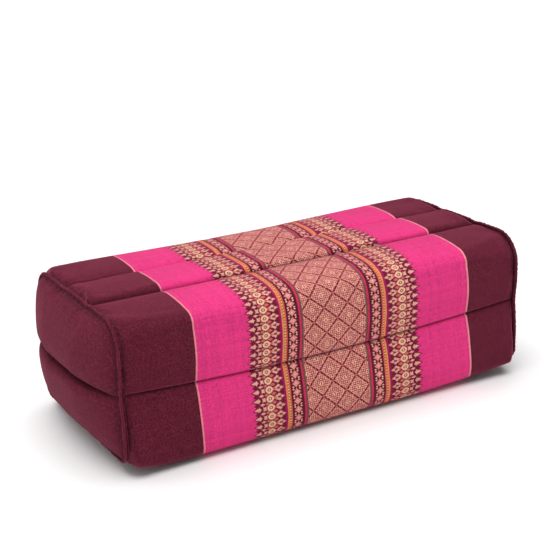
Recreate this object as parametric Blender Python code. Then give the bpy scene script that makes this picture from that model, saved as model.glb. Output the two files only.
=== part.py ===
"""Rectangular meditation cushion: a firmly stuffed block of cloth, sewn into long channels.

Metres, +Z up. X runs along the length and -Y is the front. The origin is at the middle
of the underside, on the surface that the cushion rests on.
"""
import math

import bpy

# Overall size of the stuffed cushion
LENGTH = 0.350
DEPTH = 0.151
HEIGHT = 0.104

# Cloth and sewing
PANEL_THICKNESS = 0.002
SEAM_RADIUS = 0.0015
PIECE_GAP = 0.0003
PANEL_DOME = 0.0147
PANEL_CREASE_DOME = 0.0050
PANEL_CREASE_WIDTH = 0.0070

# How far the stuffing swells the cloth past the seam's outline
FRONT_SWELL = 0.0072
TOP_SWELL = 0.0046
MIDDLE_SWELL = 0.0054
VALLEY_SHARPNESS = 0.25
END_ROUNDING = 0.012

# Outline that both end seams follow
TOP_CORNER_RADIUS = 0.014
BOTTOM_CORNER_RADIUS = 0.007
TOP_LINE_OFFSET = 0.0217
CREASE_PINCH = 0.0016
CREASE_PINCH_WIDTH = 0.012
LINE_PINCH = 0.0007
LINE_PINCH_WIDTH = 0.006
FRONT_CREST = 0.0049
SEAM_HALF_DEPTH = DEPTH / 2 - FRONT_CREST
SEAM_BOTTOM = 2 * SEAM_RADIUS + 2 * PIECE_GAP
SEAM_TOP = HEIGHT - MIDDLE_SWELL + 0.0007

# The side creases sit below mid height, and lowest at mid length
CREASE_DROP_AT_ENDS = 0.0015
CREASE_DROP_AT_MIDDLE = 0.0070

# Facets
CORNER_CHANNEL_STEPS = 16
MIDDLE_CHANNEL_STEPS = 8
END_STEPS = 5
LENGTH_STEPS = 12
CORNER_STEP = CORNER_CHANNEL_STEPS // 2
PANEL_ROWS = 2 * CORNER_STEP
PANEL_COLUMNS = 2 * CORNER_STEP + MIDDLE_CHANNEL_STEPS
SEAM_SIDES = 6

MID_HEIGHT = (SEAM_TOP + SEAM_BOTTOM) / 2

# Channels round the girth, from the front crease up and over the top.
# Columns: name, facets, set of the first sewn line, set of the second, swell at each
CHANNELS = (
    ("upper front", CORNER_CHANNEL_STEPS, -0.0020, -0.0007, FRONT_SWELL, TOP_SWELL),
    ("top middle", MIDDLE_CHANNEL_STEPS, -0.0007, -0.0007, MIDDLE_SWELL, MIDDLE_SWELL),
    ("upper back", CORNER_CHANNEL_STEPS, -0.0007, -0.0020, TOP_SWELL, FRONT_SWELL),
    ("lower back", CORNER_CHANNEL_STEPS, -0.0020, 0.0, FRONT_SWELL, TOP_SWELL),
    ("bottom middle", MIDDLE_CHANNEL_STEPS, 0.0, 0.0, MIDDLE_SWELL, MIDDLE_SWELL),
    ("lower front", CORNER_CHANNEL_STEPS, 0.0, -0.0020, TOP_SWELL, FRONT_SWELL),
)


def clear_scene():
    for old in list(bpy.data.objects):
        bpy.data.objects.remove(old)


def cloth_material(name, colour, roughness):
    """A plain woven cotton of one colour."""
    material = bpy.data.materials.new(name)
    material.use_nodes = True
    shader = material.node_tree.nodes["Principled BSDF"]
    shader.inputs["Base Color"].default_value = (*colour, 1.0)
    shader.inputs["Roughness"].default_value = roughness
    shader.inputs["Metallic"].default_value = 0.0
    return material


def add_piece(name, points, faces, material):
    """Make one closed piece from its points and faces, shaded smooth."""
    mesh = bpy.data.meshes.new(name)
    mesh.from_pydata(points, [], faces)
    mesh.materials.append(material)
    mesh.shade_smooth()
    piece = bpy.data.objects.new(name, mesh)
    bpy.context.scene.collection.objects.link(piece)
    return piece


def smooth_step(t):
    return t * t * (3 - 2 * t)


def seam_runs():
    """Straight and round runs of the seam's outline, from mid height on the front.

    Each run is its length and a function from the distance along it to a point and
    the outward normal there, all in the Y-Z plane.
    """
    a = SEAM_HALF_DEPTH
    rt = TOP_CORNER_RADIUS
    rb = BOTTOM_CORNER_RADIUS

    def straight(y, z, step_y, step_z, normal):
        return lambda d: ((y + step_y * d, z + step_z * d), normal)

    def corner(y, z, radius, start):
        def at(d):
            angle = start - d / radius
            normal = (math.cos(angle), math.sin(angle))
            return (y + radius * normal[0], z + radius * normal[1]), normal
        return at

    quarter = math.pi / 2
    return (
        (SEAM_TOP - rt - MID_HEIGHT, straight(-a, MID_HEIGHT, 0, 1, (-1, 0))),
        (quarter * rt, corner(-a + rt, SEAM_TOP - rt, rt, math.pi)),
        (2 * (a - rt), straight(-a + rt, SEAM_TOP, 1, 0, (0, 1))),
        (quarter * rt, corner(a - rt, SEAM_TOP - rt, rt, quarter)),
        (SEAM_TOP - rt - SEAM_BOTTOM - rb, straight(a, SEAM_TOP - rt, 0, -1, (1, 0))),
        (quarter * rb, corner(a - rb, SEAM_BOTTOM + rb, rb, 0.0)),
        (2 * (a - rb), straight(a - rb, SEAM_BOTTOM, -1, 0, (0, -1))),
        (quarter * rb, corner(-a + rb, SEAM_BOTTOM + rb, rb, -quarter)),
        (MID_HEIGHT - SEAM_BOTTOM - rb, straight(-a, SEAM_BOTTOM + rb, 0, 1, (-1, 0))),
    )


RUNS = seam_runs()
GIRTH = sum(length for length, _ in RUNS)
TO_TOP_LINE = RUNS[0][0] + RUNS[1][0] + SEAM_HALF_DEPTH - TOP_CORNER_RADIUS - TOP_LINE_OFFSET
TO_BACK_CREASE = RUNS[0][0] + RUNS[1][0] + RUNS[2][0] + RUNS[3][0] + RUNS[0][0]
TO_UNDERSIDE_MIDDLE = TO_BACK_CREASE + (GIRTH - TO_BACK_CREASE) / 2


def sewn_lines(drop):
    """Distances round the outline to the six sewn lines, and back to the first."""
    back = TO_BACK_CREASE + drop
    second_top = TO_TOP_LINE + 2 * TOP_LINE_OFFSET
    return (
        -drop,
        TO_TOP_LINE,
        second_top,
        back,
        TO_UNDERSIDE_MIDDLE - TOP_LINE_OFFSET,
        TO_UNDERSIDE_MIDDLE + TOP_LINE_OFFSET,
        GIRTH - drop,
    )


def on_outline(distance):
    """Point and outward normal of the seam's outline, pinched in at the sewn lines."""
    left = distance % GIRTH
    for length, at in RUNS:
        if left <= length:
            break
        left -= length
    point, normal = at(min(left, length))
    pinch = 0.0
    lines = sewn_lines(CREASE_DROP_AT_ENDS)
    for index, line in enumerate(lines[:-1]):
        away = abs((distance - line + GIRTH / 2) % GIRTH - GIRTH / 2)
        if index in (0, 3):
            pinch += CREASE_PINCH * math.exp(-(away / CREASE_PINCH_WIDTH) ** 2)
        else:
            pinch += LINE_PINCH * math.exp(-(away / LINE_PINCH_WIDTH) ** 2)
    return (point[0] - pinch * normal[0], point[1] - pinch * normal[1]), normal


def section(fullness, drop):
    """Points of one cross-section of the wrap: six swollen channels round the girth."""
    lines = sewn_lines(drop)
    points = []
    for index, (_, steps, set_a, set_b, swell_a, swell_b) in enumerate(CHANNELS):
        start = lines[index]
        end = lines[index + 1]
        for step in range(steps):
            t = step / steps
            blend = smooth_step(t)
            hump = (4 * t * (1 - t)) ** VALLEY_SHARPNESS if step else 0.0
            swell = swell_a + (swell_b - swell_a) * blend
            out = fullness * (set_a + (set_b - set_a) * blend + swell * hump)
            (y, z), normal = on_outline(start + (end - start) * t)
            points.append((y + out * normal[0], max(z + out * normal[1], 0.0)))
    return points


def seam_outline(out=0.0):
    """The seam's outline, or one that stands outside it, with a section's facets."""
    lines = sewn_lines(CREASE_DROP_AT_ENDS)
    points = []
    for index, (_, steps, *_) in enumerate(CHANNELS):
        for step in range(steps):
            reach = lines[index + 1] - lines[index]
            (y, z), normal = on_outline(lines[index] + reach * step / steps)
            points.append((y + out * normal[0], z + out * normal[1]))
    return points


def length_stations():
    """Places along X with the fullness there: round at both ends, level between."""
    flat = HALF_WRAP - END_ROUNDING
    half = []
    for step in range(END_STEPS + 1):
        angle = math.pi / 2 * (1 - step / END_STEPS)
        half.append((-(flat + END_ROUNDING * math.sin(angle)), math.cos(angle)))
    half[0] = (-HALF_WRAP, 0.0)
    level = [(-flat + 2 * flat * k / LENGTH_STEPS, 1.0) for k in range(1, LENGTH_STEPS)]
    return half + level + [(-x, fullness) for x, fullness in reversed(half)]


def panel_grid():
    """Points of an end panel in its own plane, row by row from the bottom, front to back.

    The four sides follow the seam's outline from corner to corner, and the points inside
    are blended from the sides. The middle row is the crease.
    """
    rim = seam_outline()
    count = len(rim)

    def side(first, step, steps):
        return [rim[(first + step * k) % count] for k in range(steps + 1)]

    front = side(-CORNER_STEP, 1, PANEL_ROWS)
    top = side(CORNER_STEP, 1, PANEL_COLUMNS)
    bottom = side(-CORNER_STEP, -1, PANEL_COLUMNS)
    back = side(CORNER_STEP + PANEL_COLUMNS + PANEL_ROWS, -1, PANEL_ROWS)
    rows = []
    for row in range(PANEL_ROWS + 1):
        w = row / PANEL_ROWS
        points = []
        for column in range(PANEL_COLUMNS + 1):
            u = column / PANEL_COLUMNS
            point = []
            for axis in range(2):
                across = (1 - u) * front[row][axis] + u * back[row][axis]
                along = (1 - w) * bottom[column][axis] + w * top[column][axis]
                low = (1 - u) * bottom[0][axis] + u * bottom[-1][axis]
                high = (1 - u) * top[0][axis] + u * top[-1][axis]
                point.append(across + along - (1 - w) * low - w * high)
            points.append(tuple(point))
        rows.append(points)
    return rows


def dome_height(row, column, z):
    """How far an end bulges outward at a point of the grid, creased across its middle."""
    u = abs(2 * column / PANEL_COLUMNS - 1)
    w = abs(2 * row / PANEL_ROWS - 1)
    away = (z - MID_HEIGHT + CREASE_DROP_AT_ENDS) / PANEL_CREASE_WIDTH
    crease = 1 - (1 - PANEL_CREASE_DOME / PANEL_DOME) * math.exp(-away * away)
    return PANEL_DOME * crease * ((1 - u ** 2.6) * (1 - w ** 2.6)) ** 0.6


GRID = panel_grid()
DOME = [[dome_height(row, column, GRID[row][column][1])
         for column in range(PANEL_COLUMNS + 1)] for row in range(PANEL_ROWS + 1)]
HALF_WRAP = LENGTH / 2 - max(map(max, DOME)) - PANEL_THICKNESS - PIECE_GAP


def bridge(faces, first, second, count, flip):
    """Join two rings of points with pairs of triangles, split alike on every piece."""
    for k in range(count):
        following = (k + 1) % count
        near = [first + k, first + following, second + following]
        far = [first + k, second + following, second + k]
        faces.append(near[::-1] if flip else near)
        faces.append(far[::-1] if flip else far)


def close_dome(points, faces, rim_start, x, side, flip):
    """Close the ring of points at an end's seam with the end's creased dome."""
    count = 2 * (PANEL_ROWS + PANEL_COLUMNS)
    index = {}
    for k in range(PANEL_ROWS + 1):
        index[(k, 0)] = rim_start + (k - CORNER_STEP) % count
        index[(PANEL_ROWS - k, PANEL_COLUMNS)] = (
            rim_start + (CORNER_STEP + PANEL_COLUMNS + k) % count)
    for k in range(1, PANEL_COLUMNS):
        index[(PANEL_ROWS, k)] = rim_start + CORNER_STEP + k
        index[(0, k)] = rim_start + (-CORNER_STEP - k) % count
    for row in range(1, PANEL_ROWS):
        for column in range(1, PANEL_COLUMNS):
            y, z = GRID[row][column]
            index[(row, column)] = len(points)
            points.append((side * (x + DOME[row][column]), y, z))
    for row in range(PANEL_ROWS):
        for column in range(PANEL_COLUMNS):
            here = index[(row, column)]
            over = index[(row, column + 1)]
            up = index[(row + 1, column)]
            far = index[(row + 1, column + 1)]
            for triangle in ([here, far, over], [here, up, far]):
                faces.append(triangle[::-1] if flip else triangle)


def build_body(material):
    """The stuffed wrap: one filled solid from end to end, with domed ends."""
    points = []
    faces = []
    starts = []
    for x, fullness in length_stations():
        bow = 1 - (x / HALF_WRAP) ** 2
        drop = CREASE_DROP_AT_ENDS + (CREASE_DROP_AT_MIDDLE - CREASE_DROP_AT_ENDS) * bow
        starts.append(len(points))
        points.extend((x, y, z) for y, z in section(fullness, drop))
    count = starts[1]
    for first, second in zip(starts, starts[1:]):
        bridge(faces, first, second, count, True)
    close_dome(points, faces, starts[0], HALF_WRAP, -1, False)
    close_dome(points, faces, starts[-1], HALF_WRAP, 1, True)
    return add_piece("cushion_body", points, faces, material)


def build_panel(name, side, material):
    """One end panel: a sheet over the body's domed end, out to the seam."""
    inner = HALF_WRAP + PIECE_GAP
    outer = inner + PANEL_THICKNESS
    rim = seam_outline()
    count = len(rim)
    points = [(side * inner, y, z) for y, z in rim]
    points.extend((side * outer, y, z) for y, z in rim)
    faces = []
    outward = side > 0
    bridge(faces, 0, count, count, outward)
    close_dome(points, faces, count, outer, side, outward)
    close_dome(points, faces, 0, inner, side, not outward)
    return add_piece(name, points, faces, material)


def build_seam(name, side, material):
    """The raised seam that joins the wrap to one end panel, a round bead."""
    count = len(seam_outline())
    centre_x = side * (HALF_WRAP + SEAM_RADIUS)
    points = []
    for turn in range(SEAM_SIDES):
        angle = 2 * math.pi * turn / SEAM_SIDES
        out = PIECE_GAP + SEAM_RADIUS + SEAM_RADIUS * math.cos(angle)
        x = centre_x + side * SEAM_RADIUS * math.sin(angle)
        points.extend((x, y, z) for y, z in seam_outline(out))
    faces = []
    for turn in range(SEAM_SIDES):
        following = (turn + 1) % SEAM_SIDES
        bridge(faces, turn * count, following * count, count, side > 0)
    return add_piece(name, points, faces, material)


def main():
    clear_scene()
    wrap_cloth = cloth_material("wrap cloth", (0.60, 0.035, 0.16), 0.85)
    end_cloth = cloth_material("end cloth", (0.13, 0.018, 0.040), 0.88)
    build_body(wrap_cloth)
    for word, side in (("left", -1), ("right", 1)):
        build_panel("end_panel_" + word, side, end_cloth)
        build_seam("seam_ridge_" + word, side, end_cloth)


main()
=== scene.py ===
# %% [markdown]
# A block cushion, dressed in Blender
#
# The object is a firmly stuffed rectangular meditation cushion. One length of banded
# cotton goes round the top, front, underside and back. It is sewn through into long
# channels, and closed at each end by a burgundy panel and a raised seam. The solid
# model already fixes its size and place. This notebook gives it its cloth.

# %% Load the solid model as a fixed frame
import math

import bpy
import numpy as np
from mathutils import Matrix, Vector


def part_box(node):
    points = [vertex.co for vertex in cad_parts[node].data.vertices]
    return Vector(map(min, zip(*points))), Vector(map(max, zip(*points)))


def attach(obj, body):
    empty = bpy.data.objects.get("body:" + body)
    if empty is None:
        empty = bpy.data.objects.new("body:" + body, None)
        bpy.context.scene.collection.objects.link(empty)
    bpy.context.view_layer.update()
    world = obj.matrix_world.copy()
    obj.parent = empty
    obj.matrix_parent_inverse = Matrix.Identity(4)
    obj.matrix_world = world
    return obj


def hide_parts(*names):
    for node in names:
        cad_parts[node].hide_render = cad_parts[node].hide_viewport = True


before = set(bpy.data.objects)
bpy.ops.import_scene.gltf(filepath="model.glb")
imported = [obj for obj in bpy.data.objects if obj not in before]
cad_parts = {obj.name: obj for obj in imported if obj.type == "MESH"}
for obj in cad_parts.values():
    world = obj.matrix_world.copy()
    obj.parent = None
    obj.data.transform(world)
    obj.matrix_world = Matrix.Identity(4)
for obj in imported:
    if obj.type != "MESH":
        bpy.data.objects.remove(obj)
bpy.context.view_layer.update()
seam_low, seam_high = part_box("seam_ridge_left")
panel_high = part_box("end_panel_left")[1]
print("nodes:", sorted(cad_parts))

# %% [markdown]
# The camera comes first, because everything after it is judged through it. A product
# photograph of a small thing is taken from a little way off with a long lens, which
# keeps the far end nearly as large as the near one. The camera is placed by turning
# round the cushion: an angle sideways, an angle up, a distance, and a slight tilt.

# %% Camera at the photograph's angle
CAMERA_SIDE_ANGLE = math.radians(-29.43)
CAMERA_UP_ANGLE = math.radians(18.81)
CAMERA_TILT = math.radians(-1.90)
CAMERA_DISTANCE = 0.9628
CAMERA_TARGET = Vector((-0.0057, 0.0, 0.0914))
SENSOR_WIDTH = 36.0
LENS = 85.76


def place_camera():
    """A camera that looks at the target from the given angles, and its three axes."""
    back = Vector((
        math.sin(CAMERA_SIDE_ANGLE) * math.cos(CAMERA_UP_ANGLE),
        -math.cos(CAMERA_SIDE_ANGLE) * math.cos(CAMERA_UP_ANGLE),
        math.sin(CAMERA_UP_ANGLE),
    ))
    right = Vector((0, 0, 1)).cross(back).normalized()
    up = back.cross(right)
    tilted_right = math.cos(CAMERA_TILT) * right + math.sin(CAMERA_TILT) * up
    tilted_up = math.cos(CAMERA_TILT) * up - math.sin(CAMERA_TILT) * right
    place = CAMERA_TARGET + CAMERA_DISTANCE * back
    data = bpy.data.cameras.new("camera")
    data.sensor_width = SENSOR_WIDTH
    data.lens = LENS
    data.clip_start = 0.01
    camera = bpy.data.objects.new("camera", data)
    bpy.context.scene.collection.objects.link(camera)
    turn = Matrix((tilted_right, tilted_up, back)).transposed().to_4x4()
    camera.matrix_world = Matrix.Translation(place) @ turn
    bpy.context.scene.camera = camera
    return place


camera_place = place_camera()
print("camera at", [round(x, 3) for x in camera_place])

# %% [markdown]
# Both end seams follow one outline: a rectangle with rounded corners, pinched in where
# the sewn lines and the side creases reach it. The whole form hangs on this outline, so
# it is kept as a table of distance, place and outward normal. Any point of it can then
# be read by its distance round the girth, starting at the front crease and going up.

# %% Sizes of the form, from the solid model
PANEL_THICKNESS = 0.002
PIECE_GAP = 0.0003
BEAD_HALF_FACET = math.radians(30)
SEAM_RADIUS = (seam_high[0] - seam_low[0]) / 2 / math.cos(BEAD_HALF_FACET)
SEAM_HALF_DEPTH = seam_high[1] - 2 * SEAM_RADIUS - PIECE_GAP
SEAM_LIFT = 0.0080
SEAM_TOP = seam_high[2] - 2 * SEAM_RADIUS - PIECE_GAP + SEAM_LIFT
SEAM_BOTTOM = seam_low[2] + 2 * SEAM_RADIUS + PIECE_GAP + SEAM_LIFT
MID_HEIGHT = (SEAM_TOP + SEAM_BOTTOM) / 2
END_STRETCH = 0.0012
HALF_WRAP = -panel_high[0] - PIECE_GAP + END_STRETCH
TOP_CORNER_RADIUS = 0.0205
BOTTOM_CORNER_RADIUS = 0.008
LINE_OFFSET = 0.0217
CREASE_PINCH = 0.0016
CREASE_PINCH_WIDTH = 0.012
LINE_PINCH = 0.0009
LINE_PINCH_WIDTH = 0.005
CREASE_DROP_AT_ENDS = 0.0015
CREASE_DROP_AT_MIDDLE = 0.0070
ARC_STEPS = 24


def outline_table():
    """Distance, y, z and normal round the seam's outline, as one array of rows."""
    rows = [(-SEAM_HALF_DEPTH, MID_HEIGHT, -1.0, 0.0)]
    corners = (
        (-1, SEAM_TOP, -1, TOP_CORNER_RADIUS, math.pi),
        (1, SEAM_TOP, -1, TOP_CORNER_RADIUS, math.pi / 2),
        (1, SEAM_BOTTOM, 1, BOTTOM_CORNER_RADIUS, 0.0),
        (-1, SEAM_BOTTOM, 1, BOTTOM_CORNER_RADIUS, -math.pi / 2),
    )
    for side, edge, inward, radius, start in corners:
        for step in range(ARC_STEPS + 1):
            angle = start - math.pi / 2 * step / ARC_STEPS
            normal = (math.cos(angle), math.sin(angle))
            y = side * (SEAM_HALF_DEPTH - radius) + radius * normal[0]
            z = edge + inward * radius + radius * normal[1]
            rows.append((y, z, *normal))
    rows.append(rows[0])
    rows = np.array(rows)
    steps = np.hypot(*np.diff(rows[:, :2], axis=0).T)
    return np.column_stack([np.concatenate([[0], np.cumsum(steps)]), rows])


OUTLINE = outline_table()
GIRTH = OUTLINE[-1, 0]
OVER_THE_TOP = OUTLINE[1:2 * ARC_STEPS + 3]
TO_BACK_CREASE = np.interp(0.0, OVER_THE_TOP[:, 1], OVER_THE_TOP[:, 0]) * 2
TO_TOP_LINE = TO_BACK_CREASE / 2 - LINE_OFFSET
TO_SHOULDER = SEAM_TOP - TOP_CORNER_RADIUS * (1 - math.pi / 4) - MID_HEIGHT
TO_UNDERSIDE_MIDDLE = (TO_BACK_CREASE + GIRTH) / 2
print("girth of the seam's outline:", round(GIRTH, 4))

# %% [markdown]
# Where a line of stitches reaches the seam, it pulls the outline in a little. Two helpers
# give the places of the six lines, and the outline with those small dents in it. The
# side creases sag towards the middle of the cushion, so their place depends on a drop.

# %% Sewn lines and the pinched outline


def sewn_lines(drop):
    """Distances round the outline to the six sewn lines, and back to the first."""
    return np.array([
        -drop,
        TO_TOP_LINE,
        TO_TOP_LINE + 2 * LINE_OFFSET,
        TO_BACK_CREASE + drop,
        TO_UNDERSIDE_MIDDLE - LINE_OFFSET,
        TO_UNDERSIDE_MIDDLE + LINE_OFFSET,
        GIRTH - drop,
    ])


def on_outline(distance):
    """Points and outward normals of the outline at an array of distances."""
    left = np.mod(distance, GIRTH)
    y, z, ny, nz = (np.interp(left, OUTLINE[:, 0], OUTLINE[:, k]) for k in range(1, 5))
    pinch = np.zeros_like(left)
    for index, line in enumerate(sewn_lines(CREASE_DROP_AT_ENDS)[:-1]):
        away = np.abs(np.mod(distance - line + GIRTH / 2, GIRTH) - GIRTH / 2)
        is_crease = index in (0, 3)
        depth = CREASE_PINCH if is_crease else LINE_PINCH
        width = CREASE_PINCH_WIDTH if is_crease else LINE_PINCH_WIDTH
        pinch += depth * np.exp(-(away / width) ** 2)
    return y - pinch * ny, z - pinch * nz, ny, nz


# %% [markdown]
# A channel is cloth held down along two sewn lines and pushed out by the stuffing
# between them. Its section rises steeply at each line and is nearly level across. Six
# channels go round the girth: three on top, whose outer two wrap over the edges down to
# the side creases, and three below, pressed flat where the cushion rests. The stuffing
# sags towards the floor, which squares the lower edges, and the front shoulder is eased.

# %% The six channels
CREASE_SET = -0.0032
LINE_SET = -0.0014
UNDERSIDE_SET = 0.0040
FRONT_SWELL = 0.0072
TOP_SWELL = 0.0042
MIDDLE_SWELL = 0.0066
BACK_SWELL = 0.0073
BOTTOM_SWELL = 0.0088
SHOULDER_EASE = 0.0036
SHOULDER_REACH = 0.024
CORNER_ROUNDNESS = 0.32
MIDDLE_ROUNDNESS = 0.46
SAG = 0.0062
SAG_REACH = 0.030
EDGE_REACH = 0.018
EDGE_SQUARE = 2.2
CORNER_STEPS = 38
MIDDLE_STEPS = 16
LINE_CROWDING = 0.65
TINY = 1e-6

# Columns: facets, how far each of the two sewn lines stands out, swell at each, roundness
CHANNELS = (
    (CORNER_STEPS, CREASE_SET, LINE_SET, FRONT_SWELL, TOP_SWELL, CORNER_ROUNDNESS),
    (MIDDLE_STEPS, LINE_SET, LINE_SET, MIDDLE_SWELL, MIDDLE_SWELL, MIDDLE_ROUNDNESS),
    (CORNER_STEPS, LINE_SET, CREASE_SET, BACK_SWELL, BACK_SWELL, CORNER_ROUNDNESS),
    (CORNER_STEPS, CREASE_SET, UNDERSIDE_SET, FRONT_SWELL, BOTTOM_SWELL, CORNER_ROUNDNESS),
    (MIDDLE_STEPS, UNDERSIDE_SET, UNDERSIDE_SET, BOTTOM_SWELL, BOTTOM_SWELL, MIDDLE_ROUNDNESS),
    (CORNER_STEPS, UNDERSIDE_SET, CREASE_SET, BOTTOM_SWELL, FRONT_SWELL, CORNER_ROUNDNESS),
)


def channel_columns():
    """For each column of points round the girth: its channel, and how far across it is."""
    channel = []
    across = []
    for index, row in enumerate(CHANNELS):
        even = np.arange(row[0]) / row[0]
        crowded = even - LINE_CROWDING * np.sin(2 * np.pi * even) / (2 * np.pi)
        channel.extend([index] * row[0])
        across.extend(crowded)
    return np.array(channel), np.array(across)


COLUMN_CHANNEL, COLUMN_ACROSS = channel_columns()
COLUMNS = len(COLUMN_CHANNEL)
CHANNEL_START = [
    int(np.searchsorted(COLUMN_CHANNEL, channel)) for channel in range(len(CHANNELS))]
ON_A_LINE = COLUMN_ACROSS == 0


def section(fullness, drop, lift):
    """One cross-section of the wrap, raised off the floor by lift: y and z of every column."""
    lines = sewn_lines(drop)
    first = lines[COLUMN_CHANNEL]
    distance = first + (lines[COLUMN_CHANNEL + 1] - first) * COLUMN_ACROSS
    y, z, ny, nz = on_outline(distance)
    rows = np.array([row[1:] for row in CHANNELS])[COLUMN_CHANNEL]
    blend = COLUMN_ACROSS ** 2 * (3 - 2 * COLUMN_ACROSS)
    hump = (4 * COLUMN_ACROSS * (1 - COLUMN_ACROSS)) ** rows[:, 4]
    swell = rows[:, 2] + (rows[:, 3] - rows[:, 2]) * blend
    out = rows[:, 0] + (rows[:, 1] - rows[:, 0]) * blend + swell * hump
    out -= SHOULDER_EASE * np.exp(-((distance - TO_SHOULDER) / SHOULDER_REACH) ** 2)
    out *= fullness
    depth = y + out * ny
    height = z + out * nz
    height -= SAG * fullness * np.clip(1 - height / SAG_REACH, 0, 1)
    depth, height = pressed(depth, np.maximum(height - lift, 0.0), fullness)
    return depth, height + lift


def pressed(depth, height, fullness):
    """Square up the rounded lower edges, as the cushion's weight presses them."""
    face = np.abs(depth).max()
    inward = np.clip((face - np.abs(depth)) / EDGE_REACH, 0, 1)
    upward = np.clip(height / EDGE_REACH, 0, 1)
    a, b = 1 - inward, 1 - upward
    size = np.hypot(a, b)
    square = (a ** EDGE_SQUARE + b ** EDGE_SQUARE) ** (1 / EDGE_SQUARE)
    push = np.where(square > TINY, size / np.maximum(square, TINY), 1.0)
    push = 1 + (push - 1) * fullness * np.clip(size, 0, 1)
    moved_depth = face - EDGE_REACH * (1 - np.minimum(a * push, 1.0))
    moved_height = EDGE_REACH * (1 - np.minimum(b * push, 1.0))
    near = (inward < 1) & (upward < 1)
    depth = np.where(near, np.sign(depth) * moved_depth, depth)
    return depth, np.where(near, np.maximum(moved_height, 0.0), height)


print("columns round the girth:", COLUMNS)

# %% [markdown]
# The end panel is a flat piece of cloth until the stuffing domes it, and the sewing
# behind it pulls a crease straight across. A grid whose rows run along that crease
# keeps it clean. The grid's four sides are the seam's outline itself, and the points
# inside are blended from the sides, so the panel always meets its seam.

# %% The end panel's grid and dome
PANEL_DOME = 0.0170
CREASE_DOME = 0.0044
CREASE_WIDTH = 0.0020
CREASE_SHARPNESS = 0.9
DOME_SHAPE = 3.6
DOME_ROUNDNESS = 0.62
CORNER_COLUMN = CORNER_STEPS // 2
PANEL_ROWS = 2 * CORNER_COLUMN
PANEL_COLUMNS = 2 * CORNER_COLUMN + MIDDLE_STEPS


def rim_index():
    """Which rim column each side point of the grid is, as an array with -1 inside."""
    grid = np.full((PANEL_ROWS + 1, PANEL_COLUMNS + 1), -1)
    k = np.arange(PANEL_ROWS + 1)
    grid[k, 0] = (k - CORNER_COLUMN) % COLUMNS
    grid[PANEL_ROWS - k, -1] = (CORNER_COLUMN + PANEL_COLUMNS + k) % COLUMNS
    k = np.arange(PANEL_COLUMNS + 1)
    grid[-1, k] = (CORNER_COLUMN + k) % COLUMNS
    grid[0, k] = (-CORNER_COLUMN - k) % COLUMNS
    return grid


RIM = rim_index()


def panel_plane(rim):
    """The grid's points in the plane of the seam, blended from the rim's points."""
    sides = rim[RIM]
    v, u = np.meshgrid(
        np.linspace(0, 1, PANEL_ROWS + 1), np.linspace(0, 1, PANEL_COLUMNS + 1), indexing="ij")
    u = u[..., None]
    v = v[..., None]
    across = (1 - u) * sides[:, :1] + u * sides[:, -1:]
    along = (1 - v) * sides[:1] + v * sides[-1:]
    low = (1 - u) * sides[0, 0] + u * sides[0, -1]
    high = (1 - u) * sides[-1, 0] + u * sides[-1, -1]
    return across + along - (1 - v) * low - v * high


def dome_over(plane):
    """How far an end bulges outward over the grid's points."""
    w, u = np.meshgrid(
        np.abs(np.linspace(-1, 1, PANEL_ROWS + 1)),
        np.abs(np.linspace(-1, 1, PANEL_COLUMNS + 1)), indexing="ij")
    away = np.abs(plane[..., 1] - MID_HEIGHT + CREASE_DROP_AT_ENDS) / CREASE_WIDTH
    crease = 1 - (1 - CREASE_DOME / PANEL_DOME) * np.exp(-away ** CREASE_SHARPNESS)
    return PANEL_DOME * crease * ((1 - u ** DOME_SHAPE) * (1 - w ** DOME_SHAPE)) ** DOME_ROUNDNESS


# %% [markdown]
# Along the cushion the channels keep one section, and only the last few millimetres turn
# in to the seam. A row of stations carries the section: close together where it turns,
# evenly spread between. Both ends of a stuffed block rise a little off the floor, so the
# section is lifted there, over a longer stretch at the right end than at the left.

# %% The whole form, station by station
END_STEPS = 9
LEVEL_STEPS = 86
END_ROUNDING = 0.0060
END_LIFT = 0.0095
LEFT_LIFT_REACH = 0.043
RIGHT_LIFT_REACH = 0.110


def stations():
    """Places along X with the fullness there: round at both ends, level between."""
    flat = HALF_WRAP - END_ROUNDING
    angle = np.pi / 2 * (1 - np.arange(END_STEPS + 1) / END_STEPS)
    x = -(flat + END_ROUNDING * np.sin(angle))
    fullness = np.cos(angle)
    fullness[0] = 0.0
    level = np.linspace(-flat, flat, LEVEL_STEPS + 1)[1:-1]
    return (
        np.concatenate([x, level, -x[::-1]]),
        np.concatenate([fullness, np.ones(len(level)), fullness[::-1]]),
    )


STATION_X, STATION_FULLNESS = stations()


def wrap_points():
    """Points of the wrap, station by station."""
    points = np.zeros((len(STATION_X), COLUMNS, 3))
    for row, (x, fullness) in enumerate(zip(STATION_X, STATION_FULLNESS)):
        bow = 1 - (x / HALF_WRAP) ** 2
        drop = CREASE_DROP_AT_ENDS + (CREASE_DROP_AT_MIDDLE - CREASE_DROP_AT_ENDS) * bow
        points[row, :, 0] = x
        reach = RIGHT_LIFT_REACH if x > 0 else LEFT_LIFT_REACH
        lift = END_LIFT * max(0.0, 1 - (HALF_WRAP - abs(x)) / reach) ** 2
        points[row, :, 1], points[row, :, 2] = section(fullness, drop, lift)
    return points


wrap = wrap_points()
rim_plane = wrap[0, :, 1:]
end_plane = panel_plane(rim_plane)
end_dome = dome_over(end_plane)
print("wrap points:", wrap.shape[0] * wrap.shape[1])

# %% [markdown]
# Every corner of every face also carries the place it had on the flat cloth, in metres
# along the cushion and round its girth. The weave and the woven bands are read from
# these flat coordinates, so they follow the cloth into the channels as real threads do.

# %% Faces with their flat cloth coordinates
MID_ROW = len(STATION_X) // 2


def girth_lengths():
    """How far round the middle section each column lies, from the front crease."""
    loop = np.vstack([wrap[MID_ROW, :, 1:], wrap[MID_ROW, :1, 1:]])
    return np.concatenate([[0.0], np.cumsum(np.hypot(*np.diff(loop, axis=0).T))])


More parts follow.
